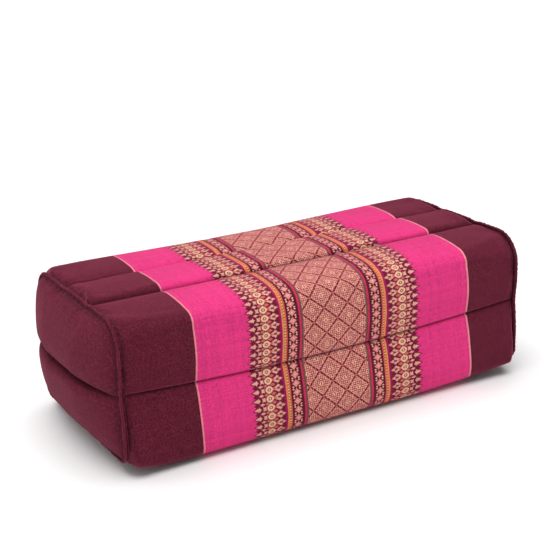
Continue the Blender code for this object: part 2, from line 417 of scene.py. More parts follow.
CLOTH_GIRTH = girth_lengths()
CUT_COLUMN = CHANNEL_START[4]
CLOTH_ALONG = np.where(
    np.arange(COLUMNS + 1) > CUT_COLUMN, CLOTH_GIRTH - CLOTH_GIRTH[-1], CLOTH_GIRTH)


def tube_faces(rows, columns, start=0):
    """Four-sided faces round a tube of rows of points, with row and column numbers."""
    row, column = np.meshgrid(np.arange(rows - 1), np.arange(columns), indexing="ij")
    corners = ((row, column), (row + 1, column), (row + 1, column + 1), (row, column + 1))
    faces = np.stack([start + r * columns + c % columns for r, c in corners], -1)
    places = np.stack([np.stack([r, c], -1) for r, c in corners], -2)
    return faces.reshape(-1, 4), places.reshape(-1, 4, 2)


def end_faces(rim_start, inner_start):
    """Faces of the panel's grid, between a ring of rim points and the points inside."""
    index = np.where(RIM >= 0, rim_start + RIM, 0)
    inside = inner_start + np.arange((PANEL_ROWS - 1) * (PANEL_COLUMNS - 1))
    index[1:-1, 1:-1] = inside.reshape(PANEL_ROWS - 1, PANEL_COLUMNS - 1)
    slices = ((slice(0, -1), slice(0, -1)), (slice(1, None), slice(0, -1)),
              (slice(1, None), slice(1, None)), (slice(0, -1), slice(1, None)))
    faces = np.stack([index[a, b] for a, b in slices], -1).reshape(-1, 4)
    places = np.stack([end_plane[a, b] for a, b in slices], -2).reshape(-1, 4, 2)
    return faces, places


def dome_inside(side):
    """Points of one end's dome inside its rim."""
    inner = end_plane[1:-1, 1:-1].reshape(-1, 2)
    outward = side * (HALF_WRAP + end_dome[1:-1, 1:-1].reshape(-1))
    return np.column_stack([outward, inner])


def new_piece(name, points, patches):
    """A smooth mesh object from points and patches of (faces, cloth places, flip)."""
    faces = [f[:, ::-1] if flip else f for f, places, flip in patches]
    places = [p[:, ::-1] if flip else p for f, p, flip in patches]
    mesh = bpy.data.meshes.new(name)
    mesh.from_pydata(np.concatenate(points).tolist(), [], np.concatenate(faces).tolist())
    layer = mesh.uv_layers.new(name="Cloth")
    layer.data.foreach_set("uv", np.concatenate(places).astype(np.float32).ravel())
    mesh.shade_smooth()
    piece = bpy.data.objects.new(name, mesh)
    bpy.context.scene.collection.objects.link(piece)
    return piece


print("cloth round the girth:", round(CLOTH_GIRTH[-1], 4), "m, cut at column", CUT_COLUMN)

# %% [markdown]
# The wrap is a tube of cloth with a domed end behind each panel, so that the stuffing has
# something closed to press against. The cloth's own join is put under the cushion, where
# a maker would hide it, and that is where its flat coordinates start again.

# %% The wrap


def wrap_places(places):
    """Flat cloth coordinates from row and column numbers."""
    across = STATION_X[places[..., 0]]
    column = places[..., 1]
    along = CLOTH_ALONG[column]
    past_cut = (places[..., 1].min(axis=-1, keepdims=True) >= CUT_COLUMN)
    along = np.where(past_cut & (column == CUT_COLUMN), along - CLOTH_GIRTH[-1], along)
    return np.stack([across, along], -1)


def build_wrap():
    """The wrap with its hidden ends, one closed piece."""
    rows = len(wrap)
    inner = (PANEL_ROWS - 1) * (PANEL_COLUMNS - 1)
    ends = rows * COLUMNS
    faces, places = tube_faces(rows, COLUMNS)
    left = end_faces(0, ends)
    right = end_faces((rows - 1) * COLUMNS, ends + inner)
    points = [wrap.reshape(-1, 3), dome_inside(-1), dome_inside(1)]
    patches = [(faces, wrap_places(places), True), (*left, False), (*right, True)]
    return new_piece("wrap", points, patches)


wrap_piece = build_wrap()
print("wrap:", len(wrap_piece.data.polygons), "faces")

# %% [markdown]
# A stuffed cushion is cloth under pressure, held by its sewing. The simulation keeps
# every sewn line and both rims where they are, gives the cloth between them a little
# more length than it needs, and lets the stuffing press it out. Folds and puckers then
# come where they would on the real thing: beside the seams and at the ends of lines. The
# channels already hold most of the fullness, so every move is capped at a few
# millimetres, and there is no remesh, which would lose the sewn lines.

# %% Stuff the wrap with a cloth simulation
CLOTH_FRAMES = 20
STUFFING_PRESSURE = 4.0
SPARE_CLOTH = 0.004
SPARE_AT_SEAMS = 0.04
SEAM_REACH = 0.016
LARGEST_MOVE = 0.0022
SMALLEST_LENGTH = 1e-9
WEIGHT_LEVELS = 20
CREASE_GAP = 0.0001


def point_array(piece):
    """A mesh's points as an array."""
    flat = np.empty(3 * len(piece.data.vertices))
    piece.data.vertices.foreach_get("co", flat)
    return flat.reshape(-1, 3)


def weight_group(piece, name, weights):
    """A vertex group from an array of weights."""
    group = piece.vertex_groups.new(name=name)
    levels = np.round(weights * WEIGHT_LEVELS).astype(int)
    for level in range(1, WEIGHT_LEVELS + 1):
        group.add(np.nonzero(levels == level)[0].tolist(), level / WEIGHT_LEVELS, "REPLACE")
    return name


def sewn_points():
    """Which of the wrap's points are held by sewing."""
    held = np.zeros((len(wrap), COLUMNS), bool)
    held[:, ON_A_LINE] = True
    held[[0, -1]] = True
    rows = np.arange(1, PANEL_ROWS)[:, None] == CORNER_COLUMN
    cap = np.broadcast_to(rows, (PANEL_ROWS - 1, PANEL_COLUMNS - 1)).ravel()
    return np.concatenate([held.ravel(), cap, cap])


def stuff_wrap(piece):
    """Simulate the stuffed cloth, and return the shape that it takes."""
    start = point_array(piece)
    near_seam = np.exp(-((np.abs(start[:, 0]) - HALF_WRAP) / SEAM_REACH) ** 2)
    cloth = piece.modifiers.new("stuffing", "CLOTH")
    settings = cloth.settings
    settings.quality = 6
    settings.mass = 0.25
    settings.tension_stiffness = 25
    settings.compression_stiffness = 25
    settings.shear_stiffness = 8
    settings.bending_stiffness = 0.3
    settings.use_pressure = True
    settings.uniform_pressure_force = STUFFING_PRESSURE
    settings.vertex_group_mass = weight_group(piece, "sewn", sewn_points().astype(float))
    settings.vertex_group_shrink = weight_group(piece, "spare", near_seam)
    settings.shrink_min = -SPARE_CLOTH
    settings.shrink_max = -SPARE_AT_SEAMS
    settings.effector_weights.gravity = 0
    cloth.collision_settings.use_collision = False
    cloth.point_cache.frame_start = 1
    cloth.point_cache.frame_end = CLOTH_FRAMES
    for frame_number in range(1, CLOTH_FRAMES + 1):
        bpy.context.scene.frame_set(frame_number)
    shaped = piece.evaluated_get(bpy.context.evaluated_depsgraph_get())
    moved = point_array(shaped) - start
    piece.modifiers.remove(cloth)
    bpy.context.scene.frame_set(1)
    length = np.maximum(np.linalg.norm(moved, axis=1, keepdims=True), SMALLEST_LENGTH)
    print("largest move in the simulation:", round(float(length.max()), 4))
    moved *= LARGEST_MOVE * np.tanh(length / LARGEST_MOVE) / length
    rings = moved[:len(wrap) * COLUMNS].reshape(len(wrap), COLUMNS, 3)
    rings *= np.sqrt(4 * COLUMN_ACROSS * (1 - COLUMN_ACROSS))[:, None]
    return start + moved


def settle(points):
    """Keep the cloth above the floor, and the lobes apart at the side creases."""
    points = points.copy()
    rings = points[:len(wrap) * COLUMNS].reshape(len(wrap), COLUMNS, 3)
    for crease, above, below in ((0, 0, 5), (CHANNEL_START[3], 2, 3)):
        level = rings[:, crease, 2][:, None]
        upper = COLUMN_CHANNEL == above
        lower = COLUMN_CHANNEL == below
        rings[:, upper, 2] = np.maximum(rings[:, upper, 2], level + CREASE_GAP)
        rings[:, lower, 2] = np.minimum(rings[:, lower, 2], level - CREASE_GAP)
    points[:, 2] = np.maximum(points[:, 2], 0.0)
    return points


stuffed = point_array(wrap_piece)
stuffed = settle(stuff_wrap(wrap_piece))
wrap_piece.data.vertices.foreach_set("co", stuffed.ravel())
wrap_piece.data.update()
cap_points = (PANEL_ROWS - 1) * (PANEL_COLUMNS - 1)
CAPS = {-1: stuffed[-2 * cap_points:-cap_points], 1: stuffed[-cap_points:]}
print("wrap reaches", stuffed.min(axis=0).round(4), stuffed.max(axis=0).round(4))

# %% [markdown]
# Light doesn't reach into a seam, and the cloth puckers beside it. Each point therefore
# stores two numbers that fade away from the sewing: a narrow one, by which the materials
# paint shade into the seams and sewn lines, and a wide one that lets small puckers show.
# The materials read them by name.

# %% Marks beside the sewing
GROOVE_WIDTH = 0.0016
GROOVE_SHARPNESS = 1.5
PULL_WIDTH = 0.0060


def mark(piece, name, values):
    """Store one number for each point of a piece, for its material to read."""
    layer = piece.data.attributes.new(name, "FLOAT", "POINT")
    layer.data.foreach_set("value", np.asarray(values, np.float32))


def wrap_grooves(width, exponent):
    """How deep in a seam or sewn line each point of the wrap lies, from 0 to 1."""
    rows = wrap[:, :, 1:]
    depth = np.zeros((len(wrap), COLUMNS))
    for start in CHANNEL_START:
        away = np.linalg.norm(rows - rows[:, start:start + 1], axis=2)
        depth = np.maximum(depth, np.exp(-(away / width) ** exponent))
    from_rim = (HALF_WRAP - np.abs(STATION_X))[:, None]
    depth = np.maximum(depth, np.exp(-(from_rim / width) ** exponent))
    return np.concatenate([depth.ravel(), np.zeros(2 * cap_points)])


grooves = wrap_grooves(GROOVE_WIDTH, GROOVE_SHARPNESS)
# painted shade: the wrap is darker along its sewn lines and at both rims
mark(wrap_piece, "PaintedShade", grooves)
mark(wrap_piece, "Pull", wrap_grooves(PULL_WIDTH, 1.0))
print("points deep in a groove:", int((grooves > 0.5).sum()), "of", len(grooves))

# %% [markdown]
# Where the wrap meets an end panel, both edges are folded together and stitched through,
# and the fold stands up as a narrow ridge. A simulated mesh is too coarse for it, so it
# is a tube bent round the seam's outline, and seeded waves gather it as short stitches
# do. The panel is a thin double sheet over the wrap's own domed end.

# %% The end panels and the raised seams
SEAM_FACETS = 12
SEAM_LENGTH_STEPS = 720
RIDGE_HALF_HEIGHT = 0.0013
RIDGE_HALF_WIDTH = 0.0010
RIDGE_SET = -0.0002
RIDGE_SIDE = 0.0024
RIDGE_SWAY = 0.0002
SWAY_LENGTH = 0.016
GATHER_LENGTH = 0.0038
GATHER_OUT = 0.16
GATHER_WIDE = 0.24
WAVE_SPREAD = 0.6
GATHER_SEED = 20
SWAY_SEED = 40
STITCH = 0.0023
FOLD_SHADE = 0.35
UNDERSIDE_SHADE = 0.75
STITCH_SHADE = 0.3


def build_panel(name, side):
    """An end panel: a thin sheet over one end's dome, out to the seam."""
    near = HALF_WRAP + PIECE_GAP
    far = near + PANEL_THICKNESS
    rims = [np.column_stack([np.full(COLUMNS, side * x), rim_plane]) for x in (near, far)]
    inner = [CAPS[side] + (side * (x - HALF_WRAP), 0, 0) for x in (near, far)]
    edge, edge_places = tube_faces(2, COLUMNS)
    edge_places = np.concatenate([rim_plane, rim_plane[:1]])[edge_places[..., 1]]
    near_side = end_faces(0, 2 * COLUMNS)
    far_side = end_faces(COLUMNS, 2 * COLUMNS + len(inner[0]))
    patches = [(edge, edge_places, side > 0),
               (*near_side, side < 0), (*far_side, side > 0)]
    panel = new_piece(name, rims + inner, patches)
    away = np.abs(end_plane[1:-1, 1:-1, 1] - MID_HEIGHT + CREASE_DROP_AT_ENDS)
    # painted shade: the first mark darkens the panel in its crease and at its seam; the second
    # places puckers
    for label, width, sharpness in (
            ("PaintedShade", GROOVE_WIDTH, GROOVE_SHARPNESS), ("Pull", PULL_WIDTH, 1.0)):
        inside = np.maximum(
            np.exp(-(away / width) ** sharpness), np.exp(-end_dome[1:-1, 1:-1] / width)).ravel()
        mark(panel, label, np.concatenate([np.ones(2 * COLUMNS), inside, inside]))
    return panel


def smooth_noise(places, length, seed):
    """Seeded wavy noise round a closed loop, with waves about as long as asked."""
    random = np.random.default_rng(seed)
    waves = max(2, int(round(GIRTH / length)))
    total = np.zeros_like(places)
    for count in range(max(1, waves // 2), waves * 2):
        strength = math.exp(-((count - waves) / (WAVE_SPREAD * waves)) ** 2)
        angle = 2 * math.pi * (count * places / GIRTH + random.random())
        total += strength * np.sin(angle)
    return total / np.abs(total).max()


def build_seam(name, side):
    """The raised seam round one end: the gathered edges of two cloths, stitched through."""
    dense = np.linspace(0, GIRTH, SEAM_LENGTH_STEPS, endpoint=False)
    y, z, ny, nz = on_outline(dense)
    gathers = smooth_noise(dense, GATHER_LENGTH, GATHER_SEED + side)
    sway = smooth_noise(dense, SWAY_LENGTH, SWAY_SEED + side)
    half_out = RIDGE_HALF_HEIGHT * (1 + GATHER_OUT * gathers)
    half_wide = RIDGE_HALF_WIDTH * (1 + GATHER_WIDE * gathers)
    rings = []
    for turn in range(SEAM_FACETS):
        angle = 2 * math.pi * turn / SEAM_FACETS
        out = RIDGE_SET + half_out * (1 + math.cos(angle))
        middle = HALF_WRAP + RIDGE_SIDE + RIDGE_SWAY * sway
        x = side * (middle + half_wide * math.sin(angle))
        rings.append(np.column_stack([x, y + out * ny, np.maximum(z + out * nz, 0.0)]))
    faces, places = tube_faces(SEAM_FACETS + 1, SEAM_LENGTH_STEPS)
    faces = faces % (SEAM_FACETS * SEAM_LENGTH_STEPS)
    scale = (2 * math.pi * SEAM_RADIUS / SEAM_FACETS, GIRTH / SEAM_LENGTH_STEPS)
    seam = new_piece(name, rings, [(faces, places * scale, side > 0)])
    turns = 2 * math.pi * np.arange(SEAM_FACETS)[:, None] / SEAM_FACETS
    stitches = np.sin(2 * math.pi * dense / STITCH + turns)
    mark(seam, "Pull", np.zeros(SEAM_FACETS * SEAM_LENGTH_STEPS))
    # painted shade and highlight: the ridge is darker underneath and where the gathers pinch it,
    # and lighter on its crest; the stitches add a spiral of lighter and darker bands
    shade = FOLD_SHADE - UNDERSIDE_SHADE * np.cos(turns) + STITCH_SHADE * (stitches - gathers)
    mark(seam, "PaintedShade", shade.ravel())
    return seam


panels = {word: build_panel("panel_" + word, side) for word, side in (("left", -1), ("right", 1))}
seams = {word: build_seam("seam_" + word, side) for word, side in (("left", -1), ("right", 1))}
print("panel:", len(panels["left"].data.polygons), "seam:", len(seams["left"].data.polygons))

# %% [markdown]
# The woven bands are arithmetic on the flat cloth: how far a point lies from the middle
# of the pattern, and how far along the repeat. A small class lets that arithmetic be
# written as plain sums, while it adds the Math nodes to the shader's tree.

# %% Arithmetic that writes Math nodes


def plug(tree, value, port):
    """Feed a node's input with another node's output, or with a plain value."""
    if isinstance(value, Wire):
        tree.links.new(value.socket, port)
    else:
        port.default_value = value


def number(tree, operation, *values):
    """One Math node."""
    node = tree.nodes.new("ShaderNodeMath")
    node.operation = operation
    for value, port in zip(values, node.inputs):
        plug(tree, value, port)
    return Wire(tree, node.outputs[0])


class Wire:
    """A value in a shader tree. Sums of wires are Math nodes."""

    def __init__(self, tree, socket):
        self.tree = tree
        self.socket = socket

    def __add__(self, other):
        return number(self.tree, "ADD", self, other)

    def __sub__(self, other):
        return number(self.tree, "SUBTRACT", self, other)

    def __rsub__(self, other):
        return number(self.tree, "SUBTRACT", other, self)

    def __mul__(self, other):
        return number(self.tree, "MULTIPLY", self, other)

    def __truediv__(self, other):
        return number(self.tree, "DIVIDE", self, other)

    def __abs__(self):
        return number(self.tree, "ABSOLUTE", self)

    def power(self, exponent):
        return number(self.tree, "POWER", self, exponent)

    def below(self, limit):
        return number(self.tree, "LESS_THAN", self, limit)

    def above(self, limit):
        return number(self.tree, "GREATER_THAN", self, limit)

    def between(self, low, high):
        return number(self.tree, "COMPARE", self, (low + high) / 2, (high - low) / 2)

    def wrapped(self, half):
        return number(self.tree, "WRAP", self, half, -half)

    def sine(self):
        return number(self.tree, "SINE", self)


def either(*masks):
    """The largest of some masks."""
    result = masks[0]
    for mask in masks[1:]:
        result = number(result.tree, "MAXIMUM", result, mask)
    return result


def spot(across, along, width, height, sharpness=2.0):
    """A mask of an oval (2), a diamond (1) or a four-point star (about 0.6)."""
    reach = abs(across / width).power(sharpness) + abs(along / height).power(sharpness)
    return reach.below(1.0)


# %% [markdown]
# Colours are chosen as they look on a screen, but shaders count in linear light, so one
# helper converts them. An effect that both cloths share is a node group with named
# inputs and outputs, made once and placed in each material with its own values.

# %% Colours and node groups


def srgb(red, green, blue):
    """A display colour, 0 to 255, as the linear one that shaders use."""
    values = [channel / 255 for channel in (red, green, blue)]
    linear = [c / 12.92 if c <= 0.04045 else ((c + 0.055) / 1.055) ** 2.4 for c in values]
    return (*linear, 1.0)


def mixed(factor, first, second, blend="MIX"):
    """One Mix node for colours."""
    tree = factor.tree
    node = tree.nodes.new("ShaderNodeMix")
    node.data_type = "RGBA"
    node.blend_type = blend
    plug(tree, factor, node.inputs[0])
    plug(tree, first, node.inputs[6])
    plug(tree, second, node.inputs[7])
    return Wire(tree, node.outputs[2])


def texture(tree, kind, dimensions, **inputs):
    """A noise or white noise texture's value."""
    node = tree.nodes.new("ShaderNodeTex" + kind)
    node.noise_dimensions = dimensions
    for label, value in inputs.items():
        plug(tree, value, node.inputs[label])
    return Wire(tree, node.outputs[0])


def joined(across, along):
    """A vector from two numbers."""
    node = across.tree.nodes.new("ShaderNodeCombineXYZ")
    plug(across.tree, across, node.inputs[0])
    plug(across.tree, along, node.inputs[1])
    return Wire(across.tree, node.outputs[0])


KINDS = {"number": "NodeSocketFloat", "vector": "NodeSocketVector", "colour": "NodeSocketColor"}


class Group:
    """A shader node group: named inputs to read, and named outputs to set."""

    def __init__(self, name, inputs, outputs):
        self.tree = bpy.data.node_groups.new(name, "ShaderNodeTree")
        for label, kind in inputs.items():
            self.tree.interface.new_socket(label, in_out="INPUT", socket_type=KINDS[kind])
        for label, kind in outputs.items():
            self.tree.interface.new_socket(label, in_out="OUTPUT", socket_type=KINDS[kind])
        self.entry = self.tree.nodes.new("NodeGroupInput")
        self.leave = self.tree.nodes.new("NodeGroupOutput")

    def __getitem__(self, label):
        return Wire(self.tree, self.entry.outputs[label])

    def __setitem__(self, label, value):
        plug(self.tree, value, self.leave.inputs[label])

    def use(self, tree, **inputs):
        """Place this group in a tree, and return its outputs by name."""
        node = tree.nodes.new("ShaderNodeGroup")
        node.node_tree = self.tree
        node.label = self.tree.name
        for label, value in inputs.items():
            plug(tree, value, node.inputs[label])
        return {socket.name: Wire(tree, socket) for socket in node.outputs}


# %% [markdown]
# The weave itself is a plain one: each thread goes over one and under the next, which
# makes a fine checker of thread tops. Each thread is a low round ridge, and threads
# differ a little in shade, because yarn dyed in small lots is never quite even.

# %% Weave group
YARN_UNEVENNESS = 0.7
WARP_LIGHTNESS = 0.6
weave = Group(
    "weave",
    {"Across": "number", "Along": "number", "Thread": "number", "Repeat": "number"},
    {"Height": "number", "Shade": "number"},
)
across = weave["Across"] / weave["Thread"]
along = weave["Along"] / weave["Thread"]
warp_number = number(weave.tree, "FLOOR", across)
weft_number = number(weave.tree, "FLOOR", along)
turn = number(weave.tree, "FLOORED_MODULO", warp_number + weft_number, weave["Repeat"])
warp_on_top = number(weave.tree, "LESS_THAN", turn, weave["Repeat"] * 0.5)
warp_ridge = abs((across * math.pi).sine())
weft_ridge = abs((along * math.pi).sine())
weave["Height"] = weft_ridge + warp_on_top * (warp_ridge - weft_ridge)
warp_shade = texture(weave.tree, "WhiteNoise", "1D", W=warp_number)
weft_shade = texture(weave.tree, "WhiteNoise", "1D", W=weft_number + 0.5)
uneven = weft_shade + warp_on_top * (warp_shade - weft_shade)
weave["Shade"] = uneven * YARN_UNEVENNESS + warp_on_top * WARP_LIGHTNESS
print("weave group:", len(weave.tree.nodes), "nodes")

# %% [markdown]
# Cloth that has been handled is not one even colour. Soft patches take the light a
# little differently where the stuffing presses, a fine grain of loose fibres breaks up
# the colour, and small puckers stand beside the sewing. All three are noise, each at its
# own scale, read from the place in space so that they run on from piece to piece.

# %% Handling group: soft patches, grain and puckers
handling = Group(
    "handling", {"Place": "vector"},
    {"Patches": "number", "Grain": "number", "Puckers": "number"})
handling["Puckers"] = texture(
    handling.tree, "Noise", "3D",
    Vector=handling["Place"], Scale=190.0, Detail=1.5, Roughness=0.5)
handling["Patches"] = texture(
    handling.tree, "Noise", "3D",
    Vector=handling["Place"], Scale=26.0, Detail=4.0, Roughness=0.55)
handling["Grain"] = texture(
    handling.tree, "Noise", "3D",
    Vector=handling["Place"], Scale=680.0, Detail=2.0, Roughness=0.7)
print("handling group:", len(handling.tree.nodes), "nodes")

# %% [markdown]
# The yarns. Burgundy and pink make the ground, and the patterned stripes add creams,
# roses and reds, with a few threads of orange, olive and grey-green. The light and the
# sheen lift every colour, so the dark ones are mixed a little deeper than they look.

# %% Colours of the yarns
BURGUNDY = srgb(95, 25, 44)
END_BURGUNDY = srgb(95, 25, 44)
HOT_PINK = srgb(243, 60, 137)
THIN_LINE = srgb(250, 150, 160)
MAROON = srgb(96, 22, 40)
DEEP_PURPLE = srgb(122, 20, 56)
MAGENTA = srgb(172, 26, 92)
CREAM = srgb(248, 198, 164)
ROSE_CREAM = srgb(242, 178, 156)
SCARLET = srgb(150, 50, 48)
SALMON = srgb(222, 108, 98)
ORANGE = srgb(245, 145, 92)
CORAL = srgb(238, 100, 92)
OLIVE = srgb(190, 120, 66)
YELLOW = srgb(255, 225, 130)
GREEN_GREY = srgb(108, 98, 78)
STAR_PINK = srgb(240, 150, 148)
DUSTY_ROSE = srgb(216, 120, 112)
PALE_ROSE = srgb(255, 194, 172)
DARK_RED = srgb(138, 42, 48)
SALMON_ROSE = srgb(210, 104, 100)
LINE_RED = srgb(124, 28, 34)

# %% [markdown]
# Every patterned stripe is woven in with extra weft, so its light motifs stand a thread
# above the ground. A band group takes the colour below it, paints its own width over
# it, and gives back the colour and how far the yarn is raised.

# %% Band groups


def band_group(name):
    """A group that paints one woven band over what is there."""
    return Group(
        name,
        {"Distance": "number", "Along": "number", "Colour": "colour", "Relief": "number"},
        {"Colour": "colour", "Relief": "number"},
    )


def finish_band(group, low, high, painted, raised):
    """Keep a band's paint between two distances from the pattern's middle."""
    inside = group["Distance"].between(low, high)
    group["Colour"] = mixed(inside, group["Colour"], painted)
    group["Relief"] = group["Relief"] + inside * (raised - group["Relief"])


# %% [markdown]
# The outer band is a row of spears that point at the pink, over rings and blossoms. On
# the loom each shape is a few rows of pale weft. Ovals, diamonds and four-point stars a
# few threads across look the same. They are placed, in millimetres, by the distance from
# the pattern's middle, and lie either on a repeat's line or half way off it.

# %% Finials: spears that point outward, over rings and blossoms
FINIAL_START = 44.5
FINIAL_END = 71.6
FINIAL_REPEAT = 6.33
REPEAT_START = 1.0
finials = band_group("finials")
d = finials["Distance"]
on = (finials["Along"] - REPEAT_START).wrapped(FINIAL_REPEAT / 2)
off = (finials["Along"] - REPEAT_START + FINIAL_REPEAT / 2).wrapped(FINIAL_REPEAT / 2)
ground = either(
    d.below(67.2),
    spot(d - 65.2, on, 6.2, 3.2, 1.0),
    spot(d - 65.2, off, 4.6, 3.0, 1.0),
)
salmon = either(
    spot(d - 52.9, off, 2.2, 1.3, 1.0),
    spot(d - 58.9, off, 1.9, 1.2, 1.0),
    spot(d - 52.4, on, 1.9, 0.9),
)
heart = either(spot(d - 56.2, on, 1.5, 1.2, 1.7), spot(d - 48.4, on, 1.0, 0.9, 1.2))
dot = spot(d - 56.2, on, 0.75, 0.6)
rings = spot(d - 56.2, on, 3.2, 2.75, 1.6)
spears = either(
    spot(d - 66.9, on, 3.4, 1.3, 0.9),
    spot(d - 65.6, on, 1.3, 2.2, 0.9),
    spot(d - 61.3 + on, d - 61.3 - on, 3.7, 3.7, 0.62),
    spot(d - 62.9, off, 2.2, 1.0, 1.0),
)
blossoms = either(
    spot(d - 46.6, on, 2.1, 1.1, 1.1),
    spot(d - 48.7, abs(on) - 1.6, 1.5, 1.15, 1.2),
    spot(d - 50.5, abs(on) - 0.9, 1.4, 0.9, 1.1),
)
painted = mixed(ground, HOT_PINK, DEEP_PURPLE)
painted = mixed(salmon, painted, SALMON)
painted = mixed(either(spears, blossoms), painted, ROSE_CREAM)
painted = mixed(rings, painted, CREAM)
painted = mixed(heart, painted, SCARLET)
painted = mixed(dot, painted, CREAM)
raised = either(rings, spears, blossoms)
finish_band(finials, FINIAL_START, FINIAL_END, painted, raised)
print("finials:", len(finials.tree.nodes), "nodes")

# %% [markdown]
# Nearer the middle, between two plain stripes, runs a narrow row of pink stars on maroon,
# with pairs of small pale leaves between them. It is built as the finials are.

# %% Stars: four points each, between small leaves
STAR_START = 30.3
STAR_END = 38.1
STAR_REPEAT = 6.33
STAR_MIDDLE = 34.2
stars = band_group("stars")
side = stars["Distance"] - STAR_MIDDLE
on = (stars["Along"] - REPEAT_START).wrapped(STAR_REPEAT / 2)
off = (stars["Along"] - REPEAT_START + STAR_REPEAT / 2).wrapped(STAR_REPEAT / 2)
star = spot(side, on, 3.5, 3.0, 0.85)
heart = spot(side, on, 0.8, 0.8, 1.0)
leaf = spot(abs(side) - 2.6, abs(off) - 0.8, 0.9, 0.7, 1.2)
painted = mixed(spot(side + off, side - off, 2.4, 2.4, 0.6), MAROON, SCARLET)
painted = mixed(star, painted, STAR_PINK)
painted = mixed(heart, painted, PALE_ROSE)
painted = mixed(leaf, painted, CREAM)
finish_band(stars, STAR_START, STAR_END, painted, either(star, leaf))
print("stars:", len(stars.tree.nodes), "nodes")

# %% [markdown]
# The middle is a lattice of dashed slanting lines. Each lozenge holds smaller ones, and
# light and dark flecks fill the rest. Two slanting coordinates, folded into one repeat,
# draw every lozenge alike, and a little noise for each step of the weave keeps the flecks
# from looking printed.

# %% Lattice: dashed slanting lines, with nested lozenges between them
LATTICE_EDGE = 25.8
LATTICE_HALF_WIDTH = 9.65
LATTICE_HALF_HEIGHT = 9.3
LATTICE_START = 18.5
LATTICE_SIDE = -5.8
FLECKS = 38.0
FLECK_RINGS = 21.0
HEM_DASHES = 42.0
lattice = band_group("lattice")
lattice.tree.interface.new_socket("Across", in_out="INPUT", socket_type=KINDS["number"])
tree = lattice.tree
p = (lattice["Across"] - LATTICE_SIDE) / LATTICE_HALF_WIDTH
q = (lattice["Along"] - LATTICE_START) / LATTICE_HALF_HEIGHT
s = ((p + q) * 0.5 + 0.5).wrapped(0.5)
t = ((p - q) * 0.5 + 0.5).wrapped(0.5)
reach = number(tree, "MAXIMUM", abs(s), abs(t)) * 2.0
nearer = number(tree, "MINIMUM", abs(s), abs(t)) * 2.0
speck = texture(tree, "WhiteNoise", "2D", Vector=joined(lattice["Across"], lattice["Along"]))
flecks = (s * FLECKS).sine() * (t * FLECKS).sine() + (reach * FLECK_RINGS).sine() * 0.25
flecks = flecks + (speck - 0.5) * 0.9
light = either(
    flecks.above(0.36),
    reach.between(0.14, 0.24),
    reach.between(0.78, 0.88) * (nearer * HEM_DASHES).sine().above(-0.1),
)
dark = either(
    flecks.below(-0.52),
    reach.below(0.09),
    reach.between(0.26, 0.32),
)
painted = mixed(dark, DUSTY_ROSE, DARK_RED)
painted = mixed(light, painted, PALE_ROSE)
lines = reach.above(0.895)
painted = mixed(lines, painted, SALMON_ROSE)
dashes = nearer.between(0.08, 0.86) * (1.0 - nearer.between(0.44, 0.50))
painted = mixed(lines * dashes, painted, LINE_RED)
finish_band(lattice, -1.0, LATTICE_EDGE, painted, light)
print("lattice:", len(lattice.tree.nodes), "nodes")

# %% [markdown]
# The rest are plain stripes. A colour ramp with sharp steps holds the narrow ones, and
# one of them has beads laid over it. Outside the pattern come pink, a thin pale line, a
# maroon edge and burgundy.

# %% Plain stripes, from the middle out
BEAD_MIDDLE = 40.7
BEAD_REPEAT = 1.05
THIN_LINE_START = 111.0
THIN_LINE_END = 112.4
BURGUNDY_START = 113.1
STRIPES = (
    # where it starts (mm), yarn
    (25.0, GREEN_GREY),
    (26.7, MAROON),
    (27.2, srgb(210, 56, 94)),
    (28.8, MAROON),
    (38.9, CORAL),
    (39.9, OLIVE),
    (41.5, ORANGE),
    (43.0, MAGENTA),
)
RAMP_START = 25.0
RAMP_WIDTH = 20.0
stripes = Group(
    "stripes", {"Distance": "number", "Along": "number"},
    {"Colour": "colour", "Relief": "number"})
tree = stripes.tree
ramp = tree.nodes.new("ShaderNodeValToRGB")
ramp.color_ramp.interpolation = "CONSTANT"
ramp.color_ramp.elements.remove(ramp.color_ramp.elements[1])
for index, (start, colour) in enumerate(STRIPES):
    place = (start - RAMP_START) / RAMP_WIDTH
    element = ramp.color_ramp.elements[0] if index == 0 else ramp.color_ramp.elements.new(place)
    element.position = place
    element.color = colour
plug(tree, (stripes["Distance"] - RAMP_START) / RAMP_WIDTH, ramp.inputs[0])
painted = Wire(tree, ramp.outputs[0])
d = stripes["Distance"]
bead = stripes["Along"]
beads = spot(d - BEAD_MIDDLE, bead.wrapped(BEAD_REPEAT), 0.55, 0.6)
gaps = spot(d - BEAD_MIDDLE, (bead + BEAD_REPEAT).wrapped(BEAD_REPEAT), 0.4, 0.35)
painted = mixed(beads, painted, YELLOW)
painted = mixed(gaps, painted, MAROON)
painted = mixed(d.above(FINIAL_START), painted, HOT_PINK)
painted = mixed(d.between(THIN_LINE_START, THIN_LINE_END), painted, THIN_LINE)
painted = mixed(d.above(THIN_LINE_END), painted, MAROON)
painted = mixed(d.above(BURGUNDY_START), painted, BURGUNDY)
stripes["Colour"] = painted
stripes["Relief"] = beads
print("node groups:", [group.name for group in bpy.data.node_groups])
